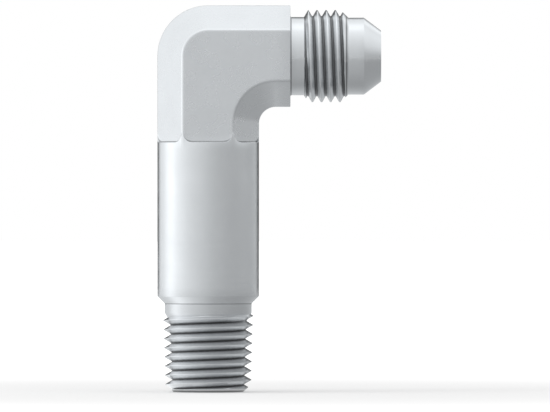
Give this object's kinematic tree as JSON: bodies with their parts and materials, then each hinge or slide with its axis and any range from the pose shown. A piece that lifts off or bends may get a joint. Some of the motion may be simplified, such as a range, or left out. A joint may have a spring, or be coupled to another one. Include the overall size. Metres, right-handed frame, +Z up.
{
  "type": "hydraulic elbow adapter",
  "caption": "Extra long right-angle steel elbow adapter with a male flare tube end, a hexagon wrench block round the corner and a round stem that ends in a male taper pipe thread.",
  "frame": {"origin": "point where the axes of the two bores cross", "axes": "+X out along the flare leg, -Z down the stem to the pipe end, +Y across the elbow away from the viewer, +Z up"},
  "size_m": [0.0345, 0.0156, 0.0597],
  "materials": {
    "plated_steel": "bright zinc plate, smooth forged block, turned ends"
  },
  "bodies": {
    "root": {"elbow_body": "plated_steel"}
  },
  "joints": []
}
